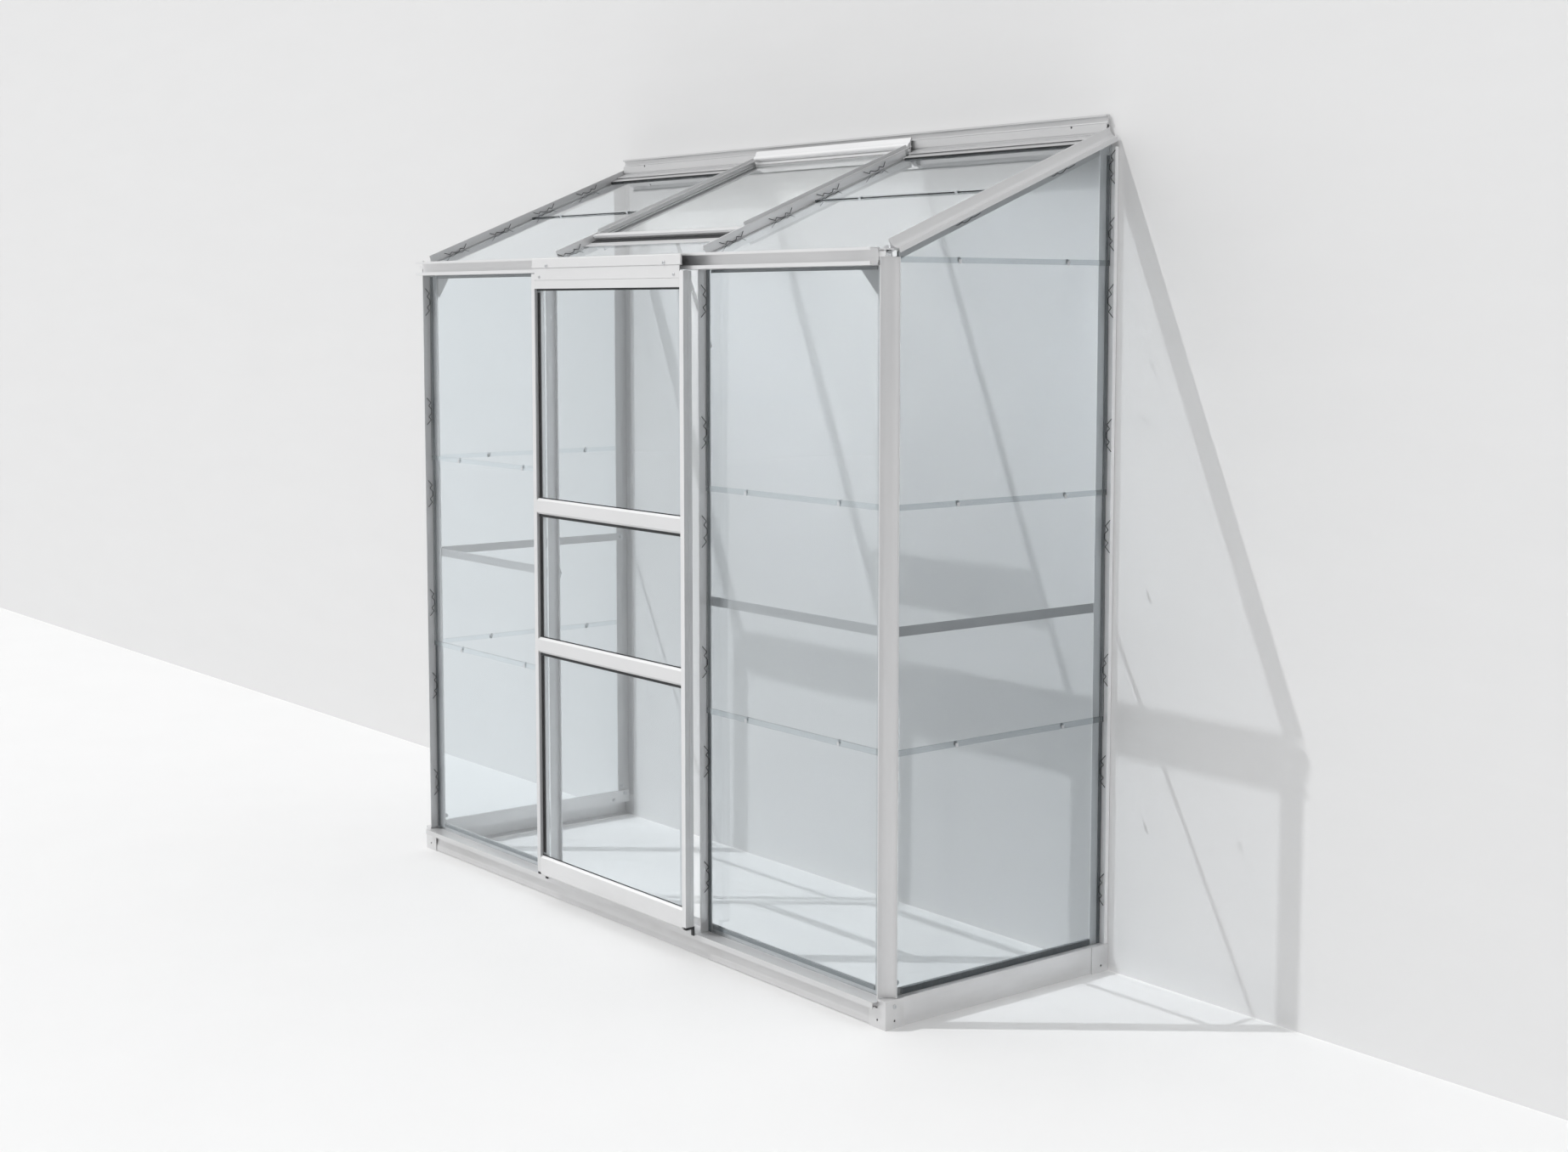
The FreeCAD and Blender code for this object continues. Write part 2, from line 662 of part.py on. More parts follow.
def glazing_rubber():
    """Rubber strips between the bars and the panes."""
    q = (front_pane + glass).value
    p = (gable_pane + glass).value
    r = rubber.value
    post = corner_fin.value + 1
    mid = 960 - door_post_off.value
    fronts = []
    gables = []
    roofs = []
    for side in (LEFT, RIGHT):
        fronts.append(slab(side, post, post + 7, q, q + r, 62, 1556))
        fronts.append(slab(side, mid - 9, mid - 2, q, q + r, 57, 1559))
        fronts.append(slab(side, 62, mid - 18, q + 0.05, 29.9, 66, 74))
        fronts.append(slab(side, 62, mid - 18, q, q + r, 1552, 1559.6))
        gables.append(slab(side, p, p + r, 34.4, 41, 62, 1556))
        gables.append(slab(side, p, p + r, 639, 645.6, 62, 1803))
        gables.append(slab(side, p, 24.8, 61, 617, 62, 74))
        low = side * (960 - post)
        high = side * (960 - post - 7)
        roofs.append(slope_box(min(low, high), max(low, high), 24, 655, -24.95, -23.05))
        low = side * (rafter_off.value + 2)
        high = side * (rafter_off.value + 9)
        roofs.append(slope_box(min(low, high), max(low, high), 26, 682, -24.95, -23.05))
        low = side * (960 - 52)
        high = side * (rafter_off.value + 17)
        roofs.append(slope_box(min(low, high), max(low, high), 24.5, 27, -26.6, -23.1))
        low = side * (960 - post - 2)
        nose = slope_box(min(low, high), max(low, high), 641.5, 644.9, -19.3, -15.6)
        roofs.append(nose.fuse(slope_box(min(low, high), max(low, high), 641.5, 655, -19.3, -18.4)))
    edge = rafter_off.value - 17
    roofs.append(slope_box(-edge, edge, 24.5, 27, -26.6, -23.1))
    keep(group("front_rubber", fronts), group("gable_rubber", gables), group("roof_rubber", roofs))


def wire(points, bend=1.2):
    """Round wire that follows a chain of points with small bends."""
    edges = []
    start = points[0]
    for k in range(1, len(points) - 1):
        before = (points[k - 1] - points[k]).normalize()
        after = (points[k + 1] - points[k]).normalize()
        half_angle = before.getAngle(after) / 2
        reach = bend / math.tan(half_angle)
        first = points[k] + before * reach
        last = points[k] + after * reach
        centre = points[k] + (before + after).normalize() * (bend / math.sin(half_angle))
        inner = centre + (points[k] - centre).normalize() * bend
        edges.append(Part.makeLine(start, first))
        edges.append(Part.Arc(first, inner, last).toShape())
        start = last
    edges.append(Part.makeLine(start, points[-1]))
    ring = Part.Wire([Part.makeCircle(wire_thick.value / 2, points[0], points[1] - points[0])])
    path = Part.Wire(edges)
    return path.makePipeShell([ring], True, False)


def spring_clip(middle, along, away, up):
    """W-shaped wire. It runs along the bar, away from the fin and up from the glass."""
    plan = ((-0.5, 0.8, 11), (-0.32, 5, 1.8), (-0.2, 1.2, 6), (-0.08, 7, 1.4),
            (0.08, 7, 1.4), (0.2, 1.2, 6), (0.32, 5, 1.8), (0.5, 0.8, 11))
    points = [middle + along * (clip_long.value * a) + away * (b + wire_thick.value / 2)
              + up * (c - 1 + wire_thick.value / 2) for a, b, c in plan]
    return wire(points)


def lap_hook(middle, up, out, across):
    """Folded clip at a lap: a tongue under the upper pane and a leaf behind the lower pane."""
    def piece(low, high, inner, outer):
        corner = middle + across * (-4) + up * low + out * inner
        return oriented_box(corner, across * 8, up * (high - low), out * (outer - inner))
    front_part = piece(-0.8, 8, 3.6, 4.2).fuse(piece(-0.8, -0.2, 0.2, 4.2))
    back_part = piece(4, 12.8, -3.7, -3.1).fuse(piece(12.2, 12.8, -3.7, 0))
    return [front_part, back_part]


def oriented_box(corner, first, second, third):
    """Box from a corner and three edge vectors."""
    face = Part.Face(Part.makePolygon([corner, corner + first, corner + first + second,
                                       corner + second, corner]))
    return face.extrude(third)


def clips():
    """Wire clips on the bars and folded clips at the pane laps."""
    levels = (185, 452, 680, 976, 1198, 1490)
    x_axis = FreeCAD.Vector(1, 0, 0)
    y_axis = FreeCAD.Vector(0, 1, 0)
    z_axis = FreeCAD.Vector(0, 0, 1)
    corner_in = corner_fin.value
    mid = 960 - door_post_off.value
    shapes = []
    for side in (LEFT, RIGHT):
        for high in levels:
            drop = 4 if high > 500 else 0.2
            shapes.append(spring_clip(at(side, corner_in, front_pane.value - drop, high), z_axis,
                                      x_axis * -side, y_axis * -1))
            shapes.append(spring_clip(at(side, mid - 1.1, front_pane.value - drop, high), z_axis,
                                      x_axis * side, y_axis * -1))
            shapes.append(spring_clip(at(side, gable_pane.value - drop, 646.8, high), z_axis,
                                      y_axis * -1, x_axis * side))
        for high in (1634, 1778):
            shapes.append(spring_clip(at(side, gable_pane.value - 4, 646.8, high), z_axis,
                                      y_axis * -1, x_axis * side))
        up = slope_vector(0, 0, 1) - slope_vector(0, 0, 0)
        along = slope_vector(0, 1, 0) - slope_vector(0, 0, 0)
        for s, rise in ((103, 0.2), (254, 0.2), (406, 3.4), (558, 3.4)):
            x = side * (rafter_off.value + 1.1)
            shapes.append(spring_clip(slope_vector(x, s, rise - fin_tall.value), along,
                                      x_axis * side, up))
            x = side * (960 - corner_in)
            shapes.append(spring_clip(slope_vector(x, s, rise - fin_tall.value), along,
                                      x_axis * -side, up))
        x = side * (rafter_off.value - 1.1)
        shapes.append(spring_clip(slope_vector(x, 60, 0.2 - fin_tall.value), along,
                                  x_axis * -side, up))
        for s in (220, 514):
            x = side * (960.2 - gable_pane.value + lap_shift.value)
            shapes.append(spring_clip(slope_vector(x, s, -31), along, up * -1, x_axis * side))
    keep(group("wire_clips", shapes))
    hooks = []
    for side in (LEFT, RIGHT):
        bay = mid - corner_in - 3
        for level in (first_joint.value, second_joint.value):
            for share in (0.24, 0.76):
                hooks += lap_hook(at(side, corner_in + 1 + bay * share, front_pane.value, level),
                                  z_axis, y_axis * -1, x_axis)
        for level in (first_joint.value, second_joint.value, third_joint.value):
            for depth in (204, 518):
                hooks += lap_hook(at(side, gable_pane.value, depth, level), z_axis,
                                  x_axis * side, y_axis)
        for share in (0.24, 0.76):
            x = side * (960 - corner_in - 1 - bay * share)
            hooks += lap_hook(slope_vector(x, 360.6, -fin_tall.value), along, up, x_axis)
    keep(group("lap_clips", hooks))


def hexagon(middle, axis, across, tall):
    """Hexagonal nut or bolt head that stands on a face."""
    side_step = axis.cross(FreeCAD.Vector(0, 0, 1) if abs(axis.z) < 0.5 else FreeCAD.Vector(1, 0, 0))
    side_step.normalize()
    other = axis.cross(side_step)
    reach = across / 2 / math.cos(math.pi / 6)
    points = []
    for k in range(6):
        turn = math.pi / 3 * k
        points.append(middle + side_step * (reach * math.cos(turn)) + other * (reach * math.sin(turn)))
    return Part.Face(Part.makePolygon(points + points[:1])).extrude(axis * tall)


def nut(middle, axis):
    """Nut on its washer."""
    washer = Part.makeCylinder(5.5, 0.8, middle, axis)
    top = middle + axis * 0.8
    body = hexagon(top, axis, 8.5, 3.6)
    stud = Part.makeCylinder(2.4, 5.2, top, axis)
    return washer.fuse([body, stud])


def dome(middle, axis, big, tall):
    """Round screw head that stands on a face, with a crossed recess."""
    head = Part.makeCylinder(big, tall, middle, axis)
    rim = [e for e in head.Edges if e.Length > 6 and (e.CenterOfMass - middle - axis * tall).Length < 0.01]
    head = head.makeFillet(min(tall, big) * 0.7, rim)
    side_step = axis.cross(FreeCAD.Vector(0, 0, 1) if abs(axis.z) < 0.5 else FreeCAD.Vector(1, 0, 0))
    side_step.normalize()
    other = axis.cross(side_step)
    for first, second in ((side_step, other), (other, side_step)):
        corner = middle + axis * (tall * 0.5) - first * (big * 0.55) - second * (big * 0.12)
        head = head.cut(oriented_box(corner, first * (big * 1.1), second * (big * 0.24), axis * tall))
    return head


def hardware():
    """Bolts and nuts of the frame. Shanks hidden in the bars are left out."""
    y_axis = FreeCAD.Vector(0, 1, 0)
    base = []
    inner = []
    behind_front = (front_pane + glass + rubber + skin).value
    behind_gable = (gable_pane + glass + rubber + skin).value
    for side in (LEFT, RIGHT):
        out = FreeCAD.Vector(side, 0, 0)
        base.append(dome(at(side, 0, 25, 46), out, 4.6, 2.2))
        for depth, high in ((62, 50), (600, 50), (638, 66)):
            base.append(nut(at(side, 27.2, depth, high), out * -1))
        for high in (1548, 1515):
            inner.append(nut(at(side, 45, behind_front + 1.8, high), y_axis))
        inner.append(nut(at(side, 646, behind_front, 1548), y_axis))
        for inward in (46, 648):
            inner.append(nut(at(side, inward, behind_front + 1.8, 818.5), y_axis))
        for depth in (48, 631):
            inner.append(nut(at(side, behind_gable + 1.8, depth, 818.5), out * -1))
        for depth, high in ((50, 86), (631, 86), (631, 1740)):
            inner.append(nut(at(side, behind_gable, depth, high), out * -1))
        inner.append(nut(at(side, 17, 8, 1593), FreeCAD.Vector(0, 0, 1)))
    keep(group("base_bolts", base), group("frame_bolts", inner))


def door_stiles():
    """Door uprights: a hollow front wall with a groove outside and a flange for the glass."""
    edge = door_wide / 2
    wall_in = edge - stile_wide
    face = door_front
    step = face + stile_rebate
    rear = face + stile_deep
    for side, name in ((LEFT, "door_stile_left"), (RIGHT, "door_stile_right")):
        section = [
            (side * edge, face), (side * edge, face + 11), (side * (edge - 1.2), face + 11.6),
            (side * (edge - 1.2), face + 12.6), (side * edge, face + 13.2), (side * edge, rear),
            (side * wall_in, rear), (side * wall_in, step + skin),
            (side * (wall_in - stile_flange), step + skin), (side * (wall_in - stile_flange), step),
            (side * wall_in, step), (side * wall_in, face)]
        cell = [(side * (edge - 2.6), face + 2), (side * (edge - 2.6), rear - 2),
                (side * (wall_in + 2), rear - 2), (side * (wall_in + 2), face + 2)]
        keep(upright(name, [section, cell], door_low, door_high - door_low))


def door_rail(name, low, tall, web, ends):
    """Rounded hollow front wall with a web and a rear flange that hold the panes."""
    face = door_front
    back = face + 6.4
    step = face + stile_rebate
    section = [
        (face + 4.5, low), (back, low), (back, web - 1.1), (step, web - 1.1), (step, web - 11),
        (step + skin, web - 11), (step + skin, web + 11), (step, web + 11), (step, web + 1.1),
        (back, web + 1.1), (back, low + tall), (face + 4.5, low + tall), (face, low + tall - 5),
        (face, low + 5)]
    cell = rectangle(face + 2, low + 6, face + 4.6, low + tall - 6)
    return along_x(name, [section, cell], -ends, ends * 2)


def door_rails():
    """Two middle rails and the foot rail between the stiles."""
    ends = door_wide / 2 - stile_wide - 0.2
    rails = []
    for name, low, tall, web in (
            ("door_rail_upper", upper_rail_low, mid_rail_tall, upper_rail_low + mid_rail_tall / 2),
            ("door_rail_lower", lower_rail_low, mid_rail_tall, lower_rail_low + mid_rail_tall / 2),
            ("door_rail_foot", foot_rail_low, foot_rail_tall, foot_rail_low + 36)):
        rail = door_rail(name, low, tall, web, ends)
        depth = door_front + stile_rebate - 0.2
        cuts = []
        for side in (LEFT, RIGHT):
            x = (ends - stile_flange - 0.4) if side == RIGHT else -ends - 0.6
            cuts.append(block("%s_notch_%d" % (name, side + 1), stile_flange + 1, 4, 60, x, depth,
                              web - 20))
        rails.append(cut_away(name, rail, cuts))
    keep(*rails)


def door_head():
    """Head panel that hides the rollers: tall top band and two bands between the stiles."""
    low = head_low
    high = head_high
    face = door_front
    section = [
        (face, low), (face, low + 19.4), (face + 1, low + 20), (face, low + 20.6),
        (face, high - 24.6), (face + 0.6, high - 23.8), (face - 2, high - 22.8),
        (face - 2, high - 1.5), (face - 0.5, high), (-27, high), (-27, high - skin),
        (face + 2.4, high - skin), (face + 2.4, low + skin), (-30.2, low + skin), (-30.2, low)]
    panel = along_x("door_head", [section], -310, 620)
    ends = door_wide / 2 - stile_wide - 0.2
    cuts = []
    for side in (LEFT, RIGHT):
        x = ends if side == RIGHT else -ends - 20
        cuts.append(block("door_head_side_%d" % (side + 1), 20, 40, high - 24.2 - low + 10, x, -50,
                          low - 10))
    holes = [rod("door_head_hole_%d" % k, 3.2, 20, side * roller_off, -50, roller_mid,
                 FreeCAD.Vector(0, 1, 0)) for k, side in enumerate((LEFT, RIGHT))]
    keep(cut_away("door_head", panel, cuts + holes))


def door_panes():
    """Three panes in the door."""
    width = door_wide - stile_wide * 2 - 1.4
    spans = (("door_glass_top", upper_rail_low + mid_rail_tall / 2 + 2, head_low - 1),
             ("door_glass_middle", lower_rail_low + mid_rail_tall / 2 + 2,
              upper_rail_low + mid_rail_tall / 2 - 2),
             ("door_glass_bottom", foot_rail_low + 38, lower_rail_low + mid_rail_tall / 2 - 2))
    for name, low, high in spans:
        box = block(name, width, glass, high - low, -width / 2, door_pane, low)
        box.Label = name
        keep(box)


def door_seals():
    """Rubber behind the door panes and thin lines along the rails."""
    edge = (door_wide / 2 - stile_wide).value
    back = (door_pane + glass).value
    step = (door_front + stile_rebate).value
    shapes = []
    for side in (LEFT, RIGHT):
        low = side * edge
        high = side * (edge - 10)
        for z_low, z_high in ((124, 634), (662, 978), (1006, 1512)):
            shapes.append(Part.makeBox(10, step - back, z_high - z_low, FreeCAD.Vector(
                min(low, high), front.value + back, z_low)))
    rail_back = (door_front + 6.4).value
    for z_low, z_high in ((621, 627.8), (965, 971.8), (1010.7, 1013), (666.7, 669), (117.2, 119),
                        (1516, 1520.8)):
        shapes.append(Part.makeBox(edge * 2 - 1.4, door_pane.value - rail_back - 0.1, z_high - z_low,
                                   FreeCAD.Vector(0.7 - edge, front.value + rail_back, z_low)))
    keep(group("door_seals", shapes))


def door_running_gear():
    """Axles, rollers, foot guides and screws of the door."""
    y_axis = FreeCAD.Vector(0, 1, 0)
    face = door_front.value
    mid = roller_mid.value
    axles = []
    screws = []
    guides = []
    rollers = []
    for side in (LEFT, RIGHT):
        x = side * roller_off.value
        start = FreeCAD.Vector(x, front.value + face - 2, mid)
        axle = Part.makeCylinder(2.9, 33.5, start, y_axis)
        head = dome(FreeCAD.Vector(x, front.value + face - 2, mid), y_axis * -1, 5, 2)
        collar = Part.makeCylinder(5.5, 16.8, start + y_axis * 4.45, y_axis)
        cap = Part.makeCylinder(4.4, 1.5, start + y_axis * 33.5, y_axis)
        axles.append(head.fuse([axle, collar, cap]))
        wheel = Part.makeCylinder(roller_big.value, 8, start + y_axis * 25, y_axis)
        rims = [e for e in wheel.Edges if e.Length > 60]
        wheel = wheel.makeFillet(1, rims)
        rollers.append(wheel.cut(Part.makeCylinder(3, 10, start + y_axis * 24, y_axis)))
        for inward, high in ((281, 1549),):
            place = FreeCAD.Vector(side * inward, front.value + face, high)
            screws.append(dome(place, y_axis * -1, 3.6, 1.8))
        guide_x = sorted((side * 307, side * 316.3))[0]
        block_shape = Part.makeBox(9.3, 24, 6, FreeCAD.Vector(guide_x, front.value - 40, door_low.value - 6.2))
        tongue = Part.makeBox(9.3, 3, 16, FreeCAD.Vector(guide_x, front.value - 19, door_low.value - 22))
        guides.append(block_shape.fuse(tongue).removeSplitter())
    keep(group("door_axles", axles), group("door_screws", screws), group("door_guides", guides))
    keep(group("door_roller_left", rollers[:1]), group("door_roller_right", rollers[1:]))


def door_stops():
    """Low blocks in the track that end the travel of the rollers."""
    stops = [slab(side, 95, 107, -14, -4.5, 1562.4, 1567.6) for side in (LEFT, RIGHT)]
    keep(group("door_stops", stops))


def vent_kerb():
    """Sill under the vent's foot and the soft kerbs along the rafters."""
    outer = [(102, -19.7), (102, -17.6), (156, -17.6), (156, -32), (136, -32), (136, -19.7)]
    cell = rectangle(138.2, -29.8, 153.8, -19.8)
    sill = along_x("vent_sill", [outer, cell], -302.6, 605.2, sloped=True)
    soft = [slope_box(-299, 299, 126, 154, -17.5, -16.2)]
    notches = []
    for side in (LEFT, RIGHT):
        ends = sorted((side * 294.4, side * 304.4))
        notches.append(block("vent_sill_notch_%d" % (side + 1), 10, 30, 20, ends[0], 130, -40,
                             sloped=True))
        ends = sorted((side * 295.4, side * 303.4))
        soft.append(slope_box(ends[0], ends[1], 157, 676, -24.9, -17.2))
    keep(cut_away("vent_sill", sill, notches), group("vent_kerb", soft))


def vent_frame():
    """Four bars of the vent. The top rail hangs in the cove of the ridge bar by its bead."""
    back = hinge_back
    high = hinge_high
    top_section = [
        (back, high + 4, 1.17), (back + 4, high, 1.17), (back, high - 4), (back, 1842.9),
        (627, 1837.7), (627, 1839.9), (637.6, 1844.1), (637.6, 1848.8), (627, 1844.5),
        (627, 1849.8), (637.6, 1852), (637.6, 1857), (631.5, 1853.5, 2.2), (631.5, 1865),
        (635.4, 1868.8), (636, 1870.2)]
    reach = vent_half + 3
    top = along_x("vent_top_rail", [top_section], -reach, reach * 2)
    inside = vent_half - 14.4
    cuts = []
    for side in (LEFT, RIGHT):
        x = inside if side == RIGHT else -inside - 60
        cuts.append(block("vent_top_side_%d" % (side + 1), 60, 42.6, 47.2, x, 595, 1806))
    keep(cut_away("vent_top_rail", top, cuts))
    foot_section = [
        (139.4, -9.4), (143.4, -13.8), (170.8, -13.8), (170.8, -16), (141, -16), (137, -9),
        (137, -4, 0.8), (139.5, -2), (vent_start - 0.2, -2), (vent_start - 0.2, -4.2),
        (139.4, -4.2)]
    foot = along_x("vent_foot_rail", [foot_section], -vent_half, vent_half * 2, sloped=True)
    cuts = []
    for side in (LEFT, RIGHT):
        x = inside if side == RIGHT else -inside - 30
        cuts.append(block("vent_foot_side_%d" % (side + 1), 30, 20, 4, x, vent_start - 0.1, -17,
                          sloped=True))
    keep(cut_away("vent_foot_rail", foot, cuts))
    for side, name in ((LEFT, "vent_side_left"), (RIGHT, "vent_side_right")):
        section = [(side * (vent_half - a), b) for a, b in (
            (0, -16), (0, 7.5), (2.2, 7.5), (2.2, 0.5), (7.5, 0.5), (7.5, -1.5), (2.2, -1.5),
            (2.2, -7.6), (4.6, -7.6), (4.6, -9.6), (2.2, -9.6), (2.2, -13.8), (9, -13.8),
            (9, -16))]
        keep(up_slope(name, [section], vent_start, vent_end - vent_start))


def vent_filling():
    """Pane of the vent and the rubber under it."""
    light = block("vent_glass", vent_half * 2 - 6, 536.5, glass, 3 - vent_half, 143.2, -12.8,
                  sloped=True)
    light.Label = "vent_glass"
    soft = [slope_box(-285, 285, 145, 158, -13.7, -12.9), slope_box(-285, 285, 661, 679, -13.7, -12.9)]
    for side in (LEFT, RIGHT):
        ends = sorted((side * 291.4, side * 297.4))
        soft.append(slope_box(ends[0], ends[1], 158.4, 676, -13.7, -12.9))
    keep(light, group("vent_seal", soft))


def vent_stay():
    """Bracket with a pin under the vent's foot rail, and the flat stay with its holes."""
    x_axis = FreeCAD.Vector(1, 0, 0)
    pivot = slope_vector(0, 165.8, -26)
    bracket = slope_box(-12, 12, 157.2, 171.6, -18.2, -16.2).fuse(
        [slope_box(-6, -4, 160, 171.6, -31, -18.2), slope_box(4, 6, 160, 171.6, -31, -18.2),
         Part.makeCylinder(2.5, 15, pivot - x_axis * 7.5, x_axis)])
    keep(group("vent_stay_bracket", [bracket.removeSplitter()]))
    end = 26 + stay_long.value - 12
    bar_shape = slope_box(-1.5, 1.5, 160.8, 170.8, -end, -26)
    for b in (-26, -end):
        bar_shape = bar_shape.fuse(Part.makeCylinder(5, 3, slope_vector(-1.5, 165.8, b), x_axis))
    bar_shape = bar_shape.removeSplitter()
    for b in [-26] + [-26 - 46 * k for k in range(1, 7)]:
        bar_shape = bar_shape.cut(Part.makeCylinder(2.6, 6, slope_vector(-3, 165.8, b), x_axis))
    keep(group("vent_stay", [bar_shape]))


def build():
    base_rails()
    keep(base_corners())
    corner_posts()
    door_posts()
    wall_posts()
    eaves()
    ridge()
    gable_rafters()
    roof_rafters()
    braces()
    gussets()
    eaves_joints()
    front_glazing()
    gable_glazing()
    roof_glazing()
    glazing_rubber()
    clips()
    hardware()
    door_stiles()
    door_rails()
    door_head()
    door_panes()
    door_seals()
    door_running_gear()
    door_stops()
    vent_kerb()
    vent_frame()
    vent_filling()
    vent_stay()


def check_and_write():
    """Stop on any broken feature, then write one file for each sub-part."""
    doc.recompute()
    broken = [item.Name for item in doc.Objects if {"Invalid", "Error"} & set(item.State)]
    if broken:
        raise RuntimeError("broken features: %s" % ", ".join(broken))
    labels = [node.Label for node in nodes]
    if len(set(labels)) != len(labels) or len(labels) > 60:
        raise RuntimeError("labels repeat or are too many: %d" % len(labels))
    for node in nodes:
        if node.Shape.isNull() or not node.Shape.isValid() or not node.Shape.Solids:
            raise RuntimeError("bad shape: " + node.Label)
    for node in nodes:
        node.Shape.exportStep("parts/%s.step" % node.Label)
    print(len(nodes), "sub-parts")


build()
check_and_write()
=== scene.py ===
"""Lean-to greenhouse: finishes, small fittings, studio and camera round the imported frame."""

import logging
import math
from dataclasses import dataclass, field, replace
from enum import Enum
from typing import Any, Iterable, Optional, Sequence, Union

import bmesh
import bpy
from mathutils import Matrix, Vector


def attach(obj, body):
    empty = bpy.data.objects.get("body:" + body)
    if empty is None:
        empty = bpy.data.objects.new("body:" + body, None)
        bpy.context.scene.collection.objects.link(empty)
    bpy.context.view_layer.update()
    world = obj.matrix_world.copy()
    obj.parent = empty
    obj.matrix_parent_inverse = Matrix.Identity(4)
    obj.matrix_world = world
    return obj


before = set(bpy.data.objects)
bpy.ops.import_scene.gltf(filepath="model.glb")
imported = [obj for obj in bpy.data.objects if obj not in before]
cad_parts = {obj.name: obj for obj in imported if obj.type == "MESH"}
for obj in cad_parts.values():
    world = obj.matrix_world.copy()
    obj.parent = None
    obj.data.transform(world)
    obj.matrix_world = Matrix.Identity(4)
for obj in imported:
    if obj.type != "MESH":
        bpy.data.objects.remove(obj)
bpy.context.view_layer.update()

logging.basicConfig(level=logging.INFO, format="%(message)s")
log = logging.getLogger("greenhouse")

Triple = tuple[float, float, float]
Colour = Triple
ROOF_SLOPE = math.atan(0.4)


class Along(Enum):
    """Which way a bar runs, and so which way its drawing lines run."""

    WIDTH = (0.0, 0.0, 0.0)
    DEPTH = (0.0, 0.0, math.pi / 2)
    HEIGHT = (0.0, math.pi / 2, 0.0)
    ROOF = (-ROOF_SLOPE, 0.0, math.pi / 2)


class Wire:
    """One output socket. Arithmetic on it adds Math nodes to its tree."""

    def __init__(self, bench: "Bench", socket: Optional[bpy.types.NodeSocket]) -> None:
        """Wraps a socket.

        Args:
            bench: the tree that the socket belongs to.
            socket: the output socket, or None for a node that ends the tree.
        """
        self.bench = bench
        self.socket = socket

    def _maths(self, operation: str, *values: Union["Wire", float]) -> "Wire":
        """Adds one Math node.

        Args:
            operation: the Math node's operation.
            values: its inputs in order.

        Returns:
            The node's output.
        """
        return self.bench.node("ShaderNodeMath", {"operation": operation}, dict(enumerate(values)))

    def __add__(self, other: Union["Wire", float]) -> "Wire":
        """Sum."""
        return self._maths("ADD", self, other)

    def __sub__(self, other: Union["Wire", float]) -> "Wire":
        """Difference."""
        return self._maths("SUBTRACT", self, other)

    def __rsub__(self, other: float) -> "Wire":
        """Difference from a number."""
        return self._maths("SUBTRACT", other, self)

    def __mul__(self, other: Union["Wire", float]) -> "Wire":
        """Product."""
        return self._maths("MULTIPLY", self, other)

    def __gt__(self, other: Union["Wire", float]) -> "Wire":
        """1 where this is the larger."""
        return self._maths("GREATER_THAN", self, other)

    __radd__ = __add__

    def fade(self, low: float, high: float) -> "Wire":
        """Goes smoothly from 0 to 1 between two values.

        Args:
            low: value at which the result is 0.
            high: value at which it is 1.

        Returns:
            The eased value.
        """
        settings = {"interpolation_type": "SMOOTHSTEP"}
        return self.bench.node("ShaderNodeMapRange", settings, {0: self, 1: low, 2: high})


